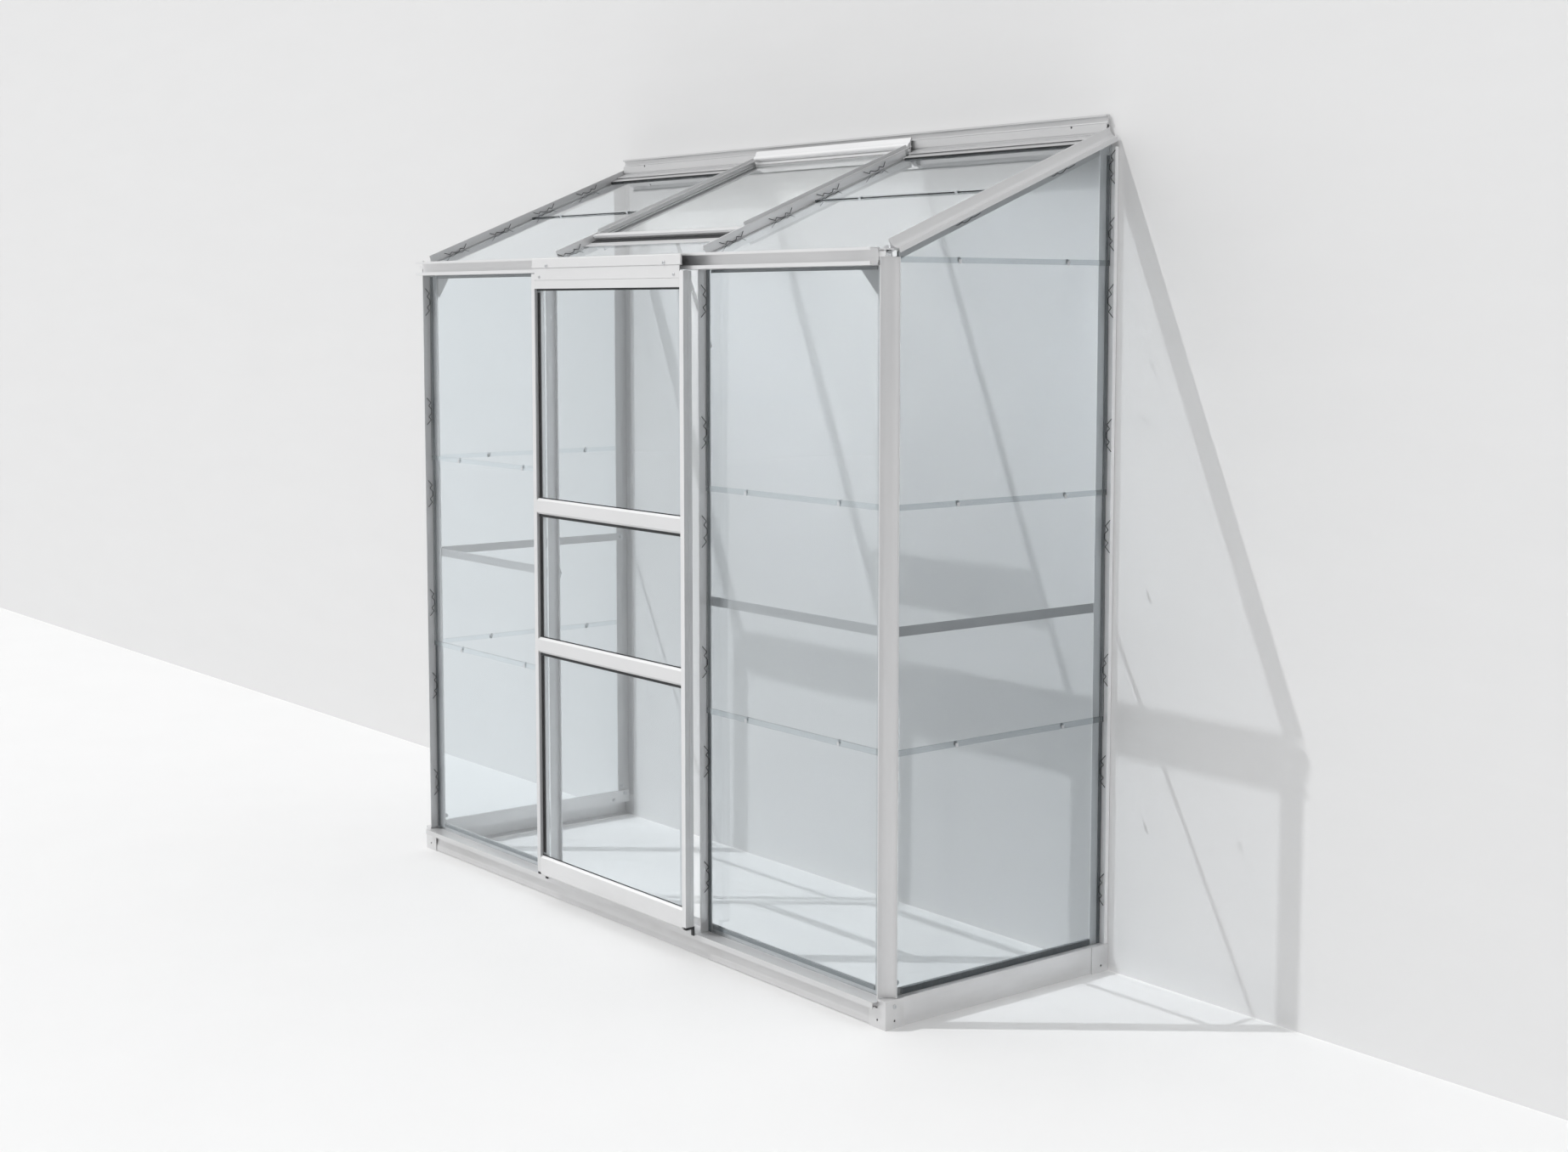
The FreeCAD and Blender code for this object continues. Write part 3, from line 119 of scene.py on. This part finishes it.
class Bench:
    """The node tree of one material or world, with the few ways used here to add to it."""

    def __init__(self, tree: bpy.types.NodeTree) -> None:
        """Clears a tree.

        Args:
            tree: the tree to fill.
        """
        self.tree = tree
        tree.nodes.clear()

    def node(self, kind: str, settings: dict[str, Any], sockets: dict[Any, Any],
             output: Union[int, str] = 0) -> Wire:
        """Adds a node.

        Args:
            kind: the node's type.
            settings: its properties, set first. "stops" fills a ramp.
            sockets: values or wires for its inputs, by name or number.
            output: which output to return.

        Returns:
            The chosen output.
        """
        made = self.tree.nodes.new(kind)
        for name, value in settings.items():
            if name == "stops":
                self._fill_ramp(made.color_ramp, value)
            else:
                setattr(made, name, value)
        for name, value in sockets.items():
            if isinstance(value, Wire):
                self.tree.links.new(value.socket, made.inputs[name])
            else:
                made.inputs[name].default_value = value
        return Wire(self, made.outputs[output] if made.outputs else None)

    @staticmethod
    def _fill_ramp(ramp: bpy.types.ColorRamp, stops: Sequence[tuple[float, float]]) -> None:
        """Sets grey stops.

        Args:
            ramp: the ramp.
            stops: place and grey value of each.
        """
        while len(ramp.elements) < len(stops):
            ramp.elements.new(0.5)
        for element, (place, grey) in zip(ramp.elements, stops):
            element.position = place
            element.color = (grey, grey, grey, 1.0)

    def place(self, turn: Sequence[float] = (0.0, 0.0, 0.0),
              stretch: Sequence[float] = (1.0, 1.0, 1.0)) -> Wire:
        """Position on the piece, in metres at rest.

        Args:
            turn: rotation of the axes.
            stretch: scale of each axis after the turn.

        Returns:
            The vector.
        """
        coords = self.node("ShaderNodeTexCoord", {}, {}, "Object")
        settings = {"vector_type": "POINT"}
        turned = self.node("ShaderNodeMapping", settings, {"Vector": coords, "Rotation": turn})
        sizes = {0: turned, 1: stretch}
        return self.node("ShaderNodeVectorMath", {"operation": "MULTIPLY"}, sizes)

    def noise(self, where: Wire, scale: float, detail: float = 3.0, rough: float = 0.55) -> Wire:
        """Noise from 0 to 1.

        Args:
            where: the vector it is read at.
            scale: its scale.
            detail: number of octaves.
            rough: how strong the fine octaves are.

        Returns:
            The value.
        """
        sizes = {"Vector": where, "Scale": scale, "Detail": detail, "Roughness": rough}
        return self.node("ShaderNodeTexNoise", {}, sizes)

    def blend(self, share: Union[Wire, float], first: Union[Wire, Colour],
              second: Union[Wire, Colour]) -> Wire:
        """Mixes two colours.

        Args:
            share: how much of the second.
            first: first colour.
            second: second colour.

        Returns:
            The mixed colour.
        """
        first, second = ((*c, 1.0) if isinstance(c, tuple) else c for c in (first, second))
        sockets = {0: share, 6: first, 7: second}
        return self.node("ShaderNodeMix", {"data_type": "RGBA"}, sockets, 2)

    def bump(self, height: Wire, strength: float, distance: float) -> Wire:
        """Turns a height into a normal.

        Args:
            height: the height.
            strength: strength of the bump.
            distance: height of 1 in metres.

        Returns:
            The normal.
        """
        sockets = {"Height": height, "Strength": strength, "Distance": distance}
        return self.node("ShaderNodeBump", {}, sockets, "Normal")

    def surface(self, shader: Wire) -> None:
        """Ends a material with its shader."""
        self.node("ShaderNodeOutputMaterial", {}, {"Surface": shader})


def new_material(name: str) -> tuple[bpy.types.Material, Bench]:
    """Makes an empty material.

    Args:
        name: its name.

    Returns:
        The material and its bench.
    """
    material = bpy.data.materials.new(name)
    material.use_nodes = True
    return material, Bench(material.node_tree)


@dataclass(frozen=True)
class DrawnAluminium:
    """Satin aluminium, drawn through a die: fine lines along the bar, faint bloom, light scuffs."""

    name: str
    along: Along
    colour: Colour = (0.735, 0.735, 0.74)
    shade: Colour = (0.675, 0.678, 0.687)
    roughness: float = 0.34
    metal: float = 0.55
    line_depth: float = 0.00003

    def make(self) -> bpy.types.Material:
        """Builds the material.

        Returns:
            The material.
        """
        material, bench = new_material(self.name)
        turn = self.along.value
        lines = bench.noise(bench.place(turn, (6.0, 900.0, 900.0)), 1.0, 4.0, 0.7)
        broad = bench.noise(bench.place(turn, (1.2, 90.0, 90.0)), 1.0, 3.0)
        bloom = bench.noise(bench.place(turn, (2.0, 6.0, 6.0)), 1.6, 4.0, 0.6)
        scuff = bench.noise(bench.place(turn, (14.0, 260.0, 260.0)), 1.0, 6.0, 0.75)
        grain = bench.noise(bench.place(), 1500.0, 2.0)
        height = bench.node("ShaderNodeSeparateXYZ", {}, {0: bench.place()}, 2)
        splash = (1 - height.fade(0.0, 0.16)) * bloom.fade(0.35, 0.75)
        scratch = scuff.fade(0.66, 0.74)
        worn = bench.blend(bloom.fade(0.3, 0.75) * 0.55 + lines * 0.3, self.colour, self.shade)
        marked = bench.blend(scratch * 0.35, worn, (0.88, 0.88, 0.88))
        dusty = bench.blend(splash * 0.22, marked, (0.55, 0.53, 0.50))
        rough = self.roughness - 0.07 + lines * 0.10 + bloom * 0.06 + splash * 0.2 + grain * 0.03
        relief = lines * 0.5 + broad * 0.6 + grain * 0.18 - scratch * 0.5
        shader = bench.node("ShaderNodeBsdfPrincipled", {}, {
            "Base Color": dusty, "Metallic": self.metal, "Roughness": rough,
            "Normal": bench.bump(relief, 0.55, self.line_depth)})
        bench.surface(shader)
        return material


@dataclass(frozen=True)
class ShadedMillAluminium(DrawnAluminium):
    """Duller aluminium, as it leaves the mill, for braces and plates; its darker colour is painted
    shade, for the shade they stand in inside the glass.
    """

    # Darker colour and shade: painted shade for parts inside the glass.
    colour: Colour = (0.60, 0.605, 0.612)
    shade: Colour = (0.53, 0.534, 0.542)
    roughness: float = 0.46
    metal: float = 0.5


@dataclass(frozen=True)
class DoorAluminium(DrawnAluminium):
    """Paler, more silky aluminium of the door."""

    colour: Colour = (0.79, 0.79, 0.794)
    shade: Colour = (0.735, 0.738, 0.745)
    roughness: float = 0.42
    metal: float = 0.4


@dataclass(frozen=True)
class ThinGlass:
    """Clear 3 mm glass, faintly blue green, with a slight wave and a trace of dust."""

    name: str
    tint: Colour = (0.85, 0.882, 0.898)
    shadow: Colour = (0.92, 0.928, 0.934)

    def make(self) -> bpy.types.Material:
        """Builds the material.

        Returns:
            The material.
        """
        material, bench = new_material(self.name)
        wave = bench.noise(bench.place((0.0, 0.0, 0.0), (1.0, 1.0, 0.6)), 5.0, 2.0)
        dust = bench.noise(bench.place(), 9.0, 6.0, 0.7).fade(0.52, 0.8)
        rough = dust * 0.04
        pane = bench.node("ShaderNodeBsdfPrincipled", {}, {
            "Base Color": (*self.tint, 1.0), "Metallic": 0.0, "Roughness": rough, "IOR": 1.45,
            "Transmission Weight": 1.0, "Normal": bench.bump(wave, 0.3, 0.0006)})
        film = bench.node("ShaderNodeBsdfTransparent", {}, {"Color": (*self.shadow, 1.0)})
        lamp = bench.node("ShaderNodeLightPath", {}, {}, "Is Shadow Ray")
        bench.surface(bench.node("ShaderNodeMixShader", {}, {0: lamp, 1: pane, 2: film}))
        return material


@dataclass(frozen=True)
class GlazingRubber:
    """Dark grey extruded rubber with a dry, slightly chalky skin.

    The inside of its faces, which can show where a pane lies flat on the rubber, glows with a share
    of the rubber's own colour: painted light for the light that does not reach there.
    """

    name: str
    colour: Colour = (0.23, 0.247, 0.257)
    chalk: Colour = (0.31, 0.322, 0.33)
    inside_glow_share: float = 0.65

    def make(self) -> bpy.types.Material:
        """Builds the material.

        Returns:
            The material.
        """
        material, bench = new_material(self.name)
        chalk = bench.noise(bench.place(), 60.0, 5.0, 0.65)
        skin = bench.noise(bench.place(), 1200.0, 3.0)
        colour = bench.blend(chalk.fade(0.45, 0.8) * 0.6, self.colour, self.chalk)
        # Painted light: back faces glow with a share of the rubber's own colour.
        within = bench.node("ShaderNodeNewGeometry", {}, {}, "Backfacing")
        glow = bench.blend(within * self.inside_glow_share, (0.0, 0.0, 0.0), colour)
        shader = bench.node("ShaderNodeBsdfPrincipled", {}, {
            "Base Color": colour, "Metallic": 0.0, "Roughness": 0.55 + chalk * 0.25,
            "Emission Color": glow, "Emission Strength": 1.0,
            "Specular IOR Level": 0.4, "Normal": bench.bump(skin + chalk * 0.4, 0.5, 0.0001)})
        bench.surface(shader)
        return material


@dataclass(frozen=True)
class BlackRubber(GlazingRubber):
    """Darker rubber of the roof, the door seals and the vent."""

    colour: Colour = (0.028, 0.03, 0.032)
    chalk: Colour = (0.075, 0.078, 0.08)


@dataclass(frozen=True)
class SpringSteel:
    """Drawn spring wire, dull, with darker oxide in patches."""

    name: str
    colour: Colour = (0.035, 0.035, 0.037)
    oxide: Colour = (0.018, 0.017, 0.017)

    def make(self) -> bpy.types.Material:
        """Builds the material.

        Returns:
            The material.
        """
        material, bench = new_material(self.name)
        patch = bench.noise(bench.place(), 160.0, 4.0, 0.6)
        fine = bench.noise(bench.place(), 2600.0, 2.0)
        colour = bench.blend(patch.fade(0.45, 0.72), self.colour, self.oxide)
        shader = bench.node("ShaderNodeBsdfPrincipled", {}, {
            "Base Color": colour, "Metallic": 0.6, "Roughness": 0.4 + patch * 0.2,
            "Normal": bench.bump(fine, 0.4, 0.00005)})
        bench.surface(shader)
        return material


@dataclass(frozen=True)
class ZincPlate:
    """Zinc plated steel: small crystals, a little duller on some."""

    name: str
    colour: Colour = (0.70, 0.71, 0.72)
    dull: Colour = (0.50, 0.51, 0.53)

    def make(self) -> bpy.types.Material:
        """Builds the material.

        Returns:
            The material.
        """
        material, bench = new_material(self.name)
        crystal = bench.node("ShaderNodeTexVoronoi", {}, {"Vector": bench.place(), "Scale": 420.0},
                             "Distance")
        cloud = bench.noise(bench.place(), 240.0, 4.0)
        colour = bench.blend(crystal * 0.6 + cloud * 0.4, self.colour, self.dull)
        shader = bench.node("ShaderNodeBsdfPrincipled", {}, {
            "Base Color": colour, "Metallic": 1.0, "Roughness": 0.24 + cloud * 0.22,
            "Normal": bench.bump(crystal + cloud, 0.3, 0.00006)})
        bench.surface(shader)
        return material


@dataclass(frozen=True)
class MouldedNylon:
    """Black moulded nylon with a fine spark grain."""

    name: str
    colour: Colour = (0.022, 0.022, 0.024)
    rubbed: Colour = (0.06, 0.06, 0.062)

    def make(self) -> bpy.types.Material:
        """Builds the material.

        Returns:
            The material.
        """
        material, bench = new_material(self.name)
        spark = bench.noise(bench.place(), 1800.0, 3.0, 0.7)
        rub = bench.noise(bench.place(), 90.0, 4.0)
        colour = bench.blend(rub.fade(0.5, 0.8), self.colour, self.rubbed)
        shader = bench.node("ShaderNodeBsdfPrincipled", {}, {
            "Base Color": colour, "Metallic": 0.0, "Roughness": 0.42 + rub * 0.2,
            "Normal": bench.bump(spark, 0.5, 0.00008)})
        bench.surface(shader)
        return material


@dataclass(frozen=True)
class HoleShade:
    """Painted shade in a drilled hole: a dished black cup just below the face stands for the shade
    inside it.
    """

    name: str
    centre: Triple
    outward: Triple
    radius: float = 0.00245
    deep: float = 0.0003
    sides: int = 32
    rings: tuple[tuple[float, float], ...] = ((1.0, 0.0), (0.8, 0.5), (0.45, 0.85))

    def ring(self, shape: bmesh.types.BMesh, share: float, drop: float) -> list[bmesh.types.BMVert]:
        """Adds one ring of points.

        Args:
            shape: the mesh that gets them.
            share: the ring's size as a share of the radius.
            drop: how far it is sunk, as a share of the depth.

        Returns:
            The points in order.
        """
        turns = [2 * math.pi * k / self.sides for k in range(self.sides)]
        return [shape.verts.new((share * self.radius * math.cos(turn),
                                 share * self.radius * math.sin(turn),
                                 -drop * self.deep)) for turn in turns]

    def build(self, material: bpy.types.Material) -> bpy.types.Object:
        """Makes the cup and puts it on the frame.

        Args:
            material: the black finish.

        Returns:
            The cup.
        """
        shape = bmesh.new()
        loops = [self.ring(shape, share, drop) for share, drop in self.rings]
        middle = shape.verts.new((0.0, 0.0, -self.deep))
        for outer, inner in zip(loops, loops[1:]):
            for k in range(self.sides):
                after = (k + 1) % self.sides
                shape.faces.new((outer[k], outer[after], inner[after], inner[k]))
        for k in range(self.sides):
            shape.faces.new((loops[-1][k], loops[-1][(k + 1) % self.sides], middle))
        mesh = bpy.data.meshes.new(self.name)
        shape.to_mesh(mesh)
        shape.free()
        mesh.materials.append(material)
        cup = bpy.data.objects.new(self.name, mesh)
        turn = Vector(self.outward).to_track_quat("Z", "Y").to_matrix().to_4x4()
        cup.matrix_world = Matrix.Translation(Vector(self.centre)) @ turn
        bpy.context.scene.collection.objects.link(cup)
        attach(cup, "frame")
        return cup


@dataclass(frozen=True)
class Drillings:
    """All the drilled holes given painted shade: corner plates and ridge bar.

    Each pair of numbers of a hole is its place along the bar and its height. Along the front and
    the ridge the place is taken from the middle, along the sides from the front of the base.
    """

    base_reach: float = 0.960
    base_front: float = -0.306
    sunk: float = 0.0011
    front_hole: tuple[float, float] = (0.934, 0.017)
    side_hole: tuple[float, float] = (0.025, 0.016)
    rear_hole: tuple[float, float] = (0.635, 0.015)
    ridge_hole: tuple[float, float] = (0.826, 1.870)
    ridge_depth: float = 0.6476

    def at_front(self, name: str, side: int, hole: tuple[float, float], depth: float) -> HoleShade:
        """A hole that is drilled from the front.

        Args:
            name: its name.
            side: -1 for the left, 1 for the right.
            hole: its place and height.
            depth: distance behind the front of the base.

        Returns:
            The hole's shade.
        """
        place, high = hole
        return HoleShade(name, (side * place, self.base_front + depth, high), (0.0, -1.0, 0.0))

    def at_side(self, name: str, side: int, hole: tuple[float, float]) -> HoleShade:
        """A hole that is drilled from a side.

        Args:
            name: its name.
            side: -1 for the left, 1 for the right.
            hole: its place and height.

        Returns:
            The hole's shade.
        """
        place, high = hole
        face = side * (self.base_reach - self.sunk)
        return HoleShade(name, (face, self.base_front + place, high), (side, 0.0, 0.0))

    def holes(self) -> Iterable[HoleShade]:
        """Lists the holes.

        Returns:
            One shade for each hole.
        """
        for side, word in ((-1, "left"), (1, "right")):
            yield self.at_front(f"hole_front_{word}", side, self.front_hole, self.sunk)
            yield self.at_side(f"hole_side_{word}", side, self.side_hole)
            yield self.at_side(f"hole_rear_{word}", side, self.rear_hole)
            yield self.at_front(f"hole_ridge_{word}", side, self.ridge_hole, self.ridge_depth)

    def build(self, material: bpy.types.Material) -> None:
        """Makes every hole's shade.

        Args:
            material: the black finish.
        """
        made = [hole.build(material) for hole in self.holes()]
        log.info("shaded %d holes", len(made))


Finish = Union[DrawnAluminium, ThinGlass, GlazingRubber, SpringSteel, ZincPlate, MouldedNylon]


@dataclass
class PaintShop:
    """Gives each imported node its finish."""

    made: dict[str, bpy.types.Material] = field(default_factory=dict)
    roof_bars: tuple[str, ...] = (
        "gable_rafter_left", "gable_rafter_right", "roof_rafter_left", "roof_rafter_right",
        "vent_side_left", "vent_side_right")
    upright_bars: tuple[str, ...] = (
        "corner_post_left", "corner_post_right", "wall_post_left", "wall_post_right",
        "door_post_left", "door_post_right", "door_stile_left", "door_stile_right")
    depth_bars: tuple[str, ...] = ("base_rail_left", "base_rail_right", "gable_braces")
    shaded_dull_bars: tuple[str, ...] = ("gable_braces", "front_braces", "eaves_gussets")
    chalky: tuple[str, ...] = ("front_rubber", "gable_rubber")
    brightest: float = 0.96
    clearest: float = 0.97
    # Painted light and shade: each factor brightens or darkens a node's colour, or a pane's tint,
    # to paint the light or shade that falls on it. It is lower for parts in shade, such as those
    # inside the glass, and higher for faces that catch more light.
    painted_light_tones: dict[str, float] = field(default_factory=lambda: {
        "base_rail_front": 0.95, "ridge_bar": 0.81, "corner_post_left": 0.94,
        "corner_post_right": 0.94, "wall_post_left": 0.77, "wall_post_right": 1.3,
        "roof_rafter_left": 1.28, "roof_rafter_right": 1.28, "gable_rafter_left": 0.94,
        "gable_rafter_right": 0.94, "door_head": 0.92, "door_rail_upper": 0.92,
        "door_rail_lower": 0.92, "door_rail_foot": 0.96, "gable_glass_left": 1.06,
        "gable_glass_right": 0.85, "front_glass_left": 1.04, "front_glass_right": 0.95,
        "vent_glass": 1.11, "roof_glass_left": 1.06, "door_post_left": 1.05,
        "door_post_right": 1.08, "door_stile_right": 1.06})

    def way_of(self, node: str) -> Along:
        """Which way a node's drawing lines run.

        Args:
            node: the node's name.

        Returns:
            The way.
        """
        if node in self.roof_bars:
            return Along.ROOF
        if node in self.upright_bars:
            return Along.HEIGHT
        return Along.DEPTH if node in self.depth_bars else Along.WIDTH

    def finish_for(self, slot: str, node: str) -> Finish:
        """Chooses a finish and the factor of painted light and shade that brightens or darkens it.

        Args:
            slot: the record's material slot.
            node: the node's name.

        Returns:
            The finish.
        """
        finish = self.plain_finish(slot, node)
        # Painted light and shade: the node's colours or tint are scaled by its factor.
        tone = self.painted_light_tones.get(node, 1.0)
        if tone == 1.0:
            return finish
        name = f"{finish.name}_{round(tone * 100)}"
        if isinstance(finish, ThinGlass):
            tint = tuple(min(self.clearest, tone * c) for c in finish.tint)
            return replace(finish, name=name, tint=tint)
        colour, shade = (tuple(min(self.brightest, tone * c) for c in plain)
                         for plain in (finish.colour, finish.shade))
        return replace(finish, name=name, colour=colour, shade=shade)

    def plain_finish(self, slot: str, node: str) -> Finish:
        """Chooses a finish without its painted light and shade.

        Args:
            slot: the record's material slot.
            node: the node's name.

        Returns:
            The finish.
        """
        way = self.way_of(node)
        # Braces and plates: a duller finish whose darker colour is painted shade.
        if node in self.shaded_dull_bars:
            return ShadedMillAluminium("mill_aluminium_" + way.name.lower(), way)
        if slot == "satin_aluminium":
            return DrawnAluminium("satin_aluminium_" + way.name.lower(), way)
        if slot == "door_aluminium":
            return DoorAluminium("door_aluminium_" + way.name.lower(), way)
        if slot == "dark_rubber" and node not in self.chalky:
            return BlackRubber("black_rubber")
        plain = {"clear_glass": ThinGlass, "dark_rubber": GlazingRubber, "clip_wire": SpringSteel,
                 "zinc_steel": ZincPlate, "black_nylon": MouldedNylon}
        return plain[slot](slot)

    def dress(self) -> None:
        """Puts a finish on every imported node."""
        for name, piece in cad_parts.items():
            for slot in piece.material_slots:
                if not slot.material:
                    continue
                plain_name = slot.material.name.split(".")[0]
                finish = self.finish_for(plain_name, name)
                if finish.name not in self.made:
                    self.made[finish.name] = finish.make()
                slot.material = self.made[finish.name]
        log.info("dressed %d nodes in %d finishes", len(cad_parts), len(self.made))


@dataclass
class Studio:
    """Pale floor, pale wall that shows from its front only, one soft key light and a plain sky."""

    wall_depth: float = 0.3535
    floor_drop: float = 0.0006
    wall_high: float = 9.0
    spread: float = 14.0
    floor_colour: Colour = (0.86, 0.86, 0.86)
    floor_grain: float = 3.0
    wall_colour: Colour = (0.77, 0.77, 0.772)
    wall_grain: float = 2.2
    light_way: Triple = (0.41, 0.49, -0.77)
    key_strength: float = 1.3
    key_angle: float = math.radians(0.6)
    sky_strength: float = 0.96
    dim_way: Triple = (0.76, -0.60, 0.25)
    dim_range: tuple[float, float] = (0.35, 0.98)
    dim_share: float = 0.42
    touching: float = 0.012
    uneven_share: float = 0.97

    def _paint(self, name: str, colour: Colour, grain: float) -> bpy.types.Material:
        """Matt paint that is clear from behind, and that lets soft light out to what it touches.

        Without the second, the back of a bar that stands against the wall would stay black.

        Args:
            name: the material's name.
            colour: its colour.
            grain: scale of its faint unevenness.

        Returns:
            The material.
        """
        material, bench = new_material(name)
        uneven = bench.noise(bench.place((0.0, 0.0, 0.0), (1.0, 1.0, 5.0)), grain, 4.0)
        darker = tuple(self.uneven_share * c for c in colour)
        matt = bench.node("ShaderNodeBsdfPrincipled", {}, {
            "Base Color": bench.blend(uneven, colour, darker), "Roughness": 0.9,
            "Specular IOR Level": 0.1, "Normal": bench.bump(uneven, 0.2, 0.004)})
        clear = bench.node("ShaderNodeBsdfTransparent", {}, {"Color": (1.0, 1.0, 1.0, 1.0)})
        back = bench.node("ShaderNodeNewGeometry", {}, {}, "Backfacing")
        length, diffuse, shadow = [bench.node("ShaderNodeLightPath", {}, {}, output) for output in
                                   ("Ray Length", "Is Diffuse Ray", "Is Shadow Ray")]
        near = (1.0 - (length > self.touching)) * (diffuse + shadow)
        share = (back + near) > 0.5
        bench.surface(bench.node("ShaderNodeMixShader", {}, {0: share, 1: matt, 2: clear}))
        return material

    def _sheet(self, name: str, corners: Sequence[Sequence[float]],
               material: bpy.types.Material) -> None:
        """A flat stage sheet.

        Args:
            name: its name.
            corners: four corners in order.
            material: its material.
        """
        mesh = bpy.data.meshes.new(name)
        mesh.from_pydata([tuple(c) for c in corners], [], [(0, 1, 2, 3)])
        mesh.materials.append(material)
        sheet = bpy.data.objects.new(name, mesh)
        bpy.context.scene.collection.objects.link(sheet)

    def build(self) -> None:
        """Makes floor, wall, sky and light."""
        s = self.spread
        back = self.wall_depth
        low = -self.floor_drop
        floor = self._paint("studio_floor", self.floor_colour, self.floor_grain)
        wall = self._paint("studio_wall", self.wall_colour, self.wall_grain)
        self._sheet("studio_floor", [(-s, -s, low), (s, -s, low), (s, s, low), (-s, s, low)], floor)
        self._sheet("studio_wall", [(-s, back, low), (s, back, low), (s, back, self.wall_high),
                                    (-s, back, self.wall_high)], wall)
        world = bpy.data.worlds.new("studio_sky")
        bpy.context.scene.world = world
        world.use_nodes = True
        bench = Bench(world.node_tree)
        seen = [bench.node("ShaderNodeLightPath", {}, {}, name)
                for name in ("Is Camera Ray", "Is Glossy Ray", "Is Transmission Ray")]
        shown = (seen[0] + seen[1] + seen[2]).fade(0.0, 1.0)
        way = bench.node("ShaderNodeTexCoord", {}, {}, "Generated")
        facing = bench.node("ShaderNodeVectorMath", {"operation": "DOT_PRODUCT"},
                            {0: way, 1: self.dim_way}, "Value")
        plain = self.sky_strength + shown * (1.0 - self.sky_strength)
        strength = plain * (1.0 - facing.fade(*self.dim_range) * self.dim_share)
        light = bench.node("ShaderNodeBackground", {}, {"Color": (1.0, 1.0, 1.0, 1.0),
                                                        "Strength": strength})
        bench.node("ShaderNodeOutputWorld", {}, {"Surface": light})
        lamp = bpy.data.lights.new("key_light", "SUN")
        lamp.energy = self.key_strength
        lamp.angle = self.key_angle
        sun = bpy.data.objects.new("key_light", lamp)
        sun.rotation_mode = "QUATERNION"
        sun.rotation_quaternion = Vector(self.light_way).to_track_quat("-Z", "Y")
        bpy.context.scene.collection.objects.link(sun)
        log.info("studio ready")


@dataclass
class Viewpoint:
    """The camera, where the photograph was taken from."""

    place: Triple = (4.196, -3.1205, 1.4772)
    turn: float = 51.76
    down: float = 5.414
    lens: float = 49.37
    sensor: float = 36.0
    shift: float = -0.0417
    far: float = 100.0

    def build(self) -> None:
        """Makes the camera and uses it."""
        lens = bpy.data.cameras.new("viewpoint")
        lens.lens = self.lens
        lens.sensor_width = self.sensor
        lens.shift_y = self.shift
        lens.clip_end = self.far
        camera = bpy.data.objects.new("viewpoint", lens)
        camera.location = self.place
        camera.rotation_euler = (math.radians(90 - self.down), 0.0, math.radians(self.turn))
        bpy.context.scene.collection.objects.link(camera)
        bpy.context.scene.camera = camera
        log.info("camera ready")


def main() -> None:
    """Builds everything in order."""
    bpy.context.scene.view_settings.view_transform = "Standard"
    Viewpoint().build()
    Studio().build()
    shop = PaintShop()
    shop.dress()
    # Black cups in the drilled holes: painted shade.
    Drillings().build(shop.made["black_nylon"])


if __name__ == "__main__":
    main()
